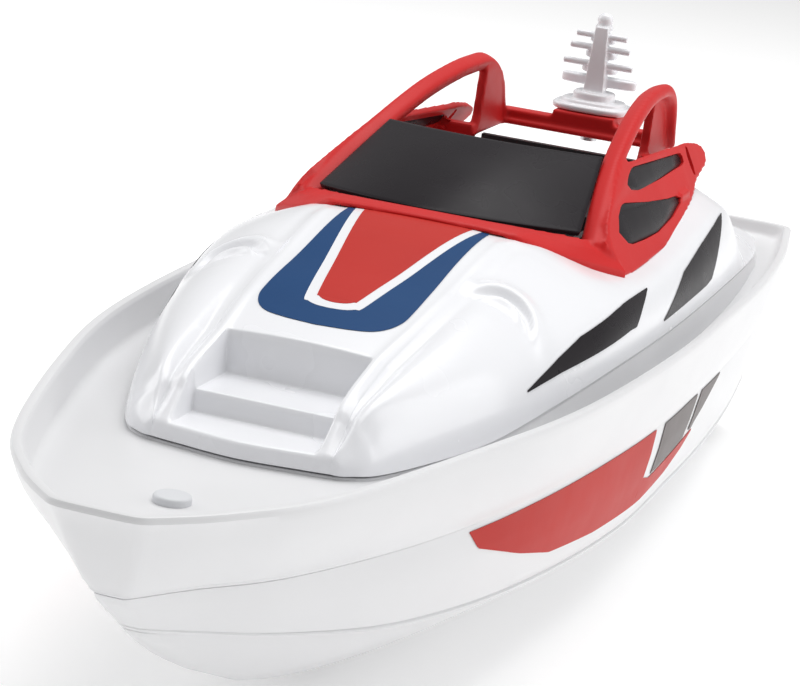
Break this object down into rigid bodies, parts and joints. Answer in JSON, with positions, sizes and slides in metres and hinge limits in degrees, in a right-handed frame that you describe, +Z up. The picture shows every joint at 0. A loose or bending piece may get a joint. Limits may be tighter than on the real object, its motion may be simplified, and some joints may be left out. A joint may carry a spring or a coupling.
{
  "type": "rc boat",
  "caption": "Toy twin-screw motor cruiser for radio control, with a lift-off white cabin, red canopy with roll bars, swivelling mast and a sealed battery bay.",
  "frame": {"origin": "middle of the boat on the surface it stands on, below the middle of its length and breadth", "axes": "+Z up, -Y towards the bow, +X to port"},
  "size_m": [0.1026, 0.34, 0.1059],
  "materials": {
    "hull_white": "satin moulded plastic",
    "cabin_white": "gloss moulded plastic",
    "plug_grey": "matt moulded plastic",
    "steel": "zinc plated",
    "sticker_red": "printed vinyl sticker",
    "sticker_grey": "printed vinyl sticker",
    "sticker_blue": "printed vinyl sticker",
    "window_black": "smoked gloss plastic",
    "canopy_red": "satin moulded plastic",
    "black_plastic": "fine textured plastic",
    "rubber_black": "soft",
    "cell_wrap": "shrink sleeve",
    "contact_metal": "nickel plated",
    "lead_red": "lead insulation",
    "lead_yellow": "lead insulation",
    "lead_grey": "lead insulation",
    "switch_red": "moulded",
    "board_green": "solder resist",
    "motor_can": "plated steel",
    "brass": "drawn tube",
    "bush_white": "moulded",
    "propeller_grey": "moulded"
  },
  "bodies": {
    "hull": {"hull_bottom": "hull_white", "deck_moulding": "hull_white", "foredeck_plug": "plug_grey", "hull_screws": "steel", "red_hull_stickers": "sticker_red", "grey_hull_stickers": "sticker_grey", "battery_box": "black_plastic", "battery_seal": "rubber_black", "battery_lid": "black_plastic", "battery_lid_screws": "steel", "cells": "cell_wrap", "battery_contacts": "contact_metal", "battery_leads": "lead_red", "switch_body": "black_plastic", "receiver_board": "board_green", "receiver_screws": "steel", "antenna_wire": "lead_grey", "motor_port": "motor_can", "motor_starboard": "motor_can", "motor_clamps": "black_plastic", "motor_clamp_screws": "steel", "motor_leads": "lead_yellow", "stern_tubes": "brass", "shaft_bushes": "bush_white", "water_sensor_pins": "steel", "deck_seal": "rubber_black"},
    "cabin": {"cabin_shell": "cabin_white", "blue_bonnet_sticker": "sticker_blue", "red_bonnet_sticker": "sticker_red", "front_cabin_windows": "window_black", "rear_cabin_windows": "window_black", "canopy_frame": "canopy_red", "windscreen": "window_black", "upper_side_windows": "window_black", "lower_side_windows": "window_black", "cockpit_tub": "black_plastic", "canopy_screws": "steel"},
    "mast": {"mast": "cabin_white", "mast_screw": "steel", "mast_washer": "steel"},
    "port_drive": {"rotor_port": "steel", "coupling_port": "black_plastic", "shaft_port": "steel", "propeller_port": "propeller_grey"},
    "starboard_drive": {"rotor_starboard": "steel", "coupling_starboard": "black_plastic", "shaft_starboard": "steel", "propeller_starboard": "propeller_grey"},
    "switch": {"switch_slider": "switch_red"}
  },
  "joints": [
    {"name": "cabin_lift", "type": "slide", "parent": "hull", "child": "cabin", "axis": [0, 0, 1], "range_m": [0, 0.06]},
    {"name": "mast_swivel", "type": "hinge", "parent": "cabin", "child": "mast", "pos_m": [0, 0.107, 0.08], "axis": [0, 0, 1], "continuous": true},
    {"name": "port_drive_spin", "type": "hinge", "parent": "hull", "child": "port_drive", "pos_m": [0.02, 0.157, 0.0115], "axis": [0, 0.9945, -0.1045], "continuous": true},
    {"name": "starboard_drive_spin", "type": "hinge", "parent": "hull", "child": "starboard_drive", "pos_m": [-0.02, 0.157, 0.0115], "axis": [0, 0.9945, -0.1045], "continuous": true},
    {"name": "power_switch_slide", "type": "slide", "parent": "hull", "child": "switch", "axis": [1, 0, 0], "range_m": [0, 0.0038]}
  ]
}
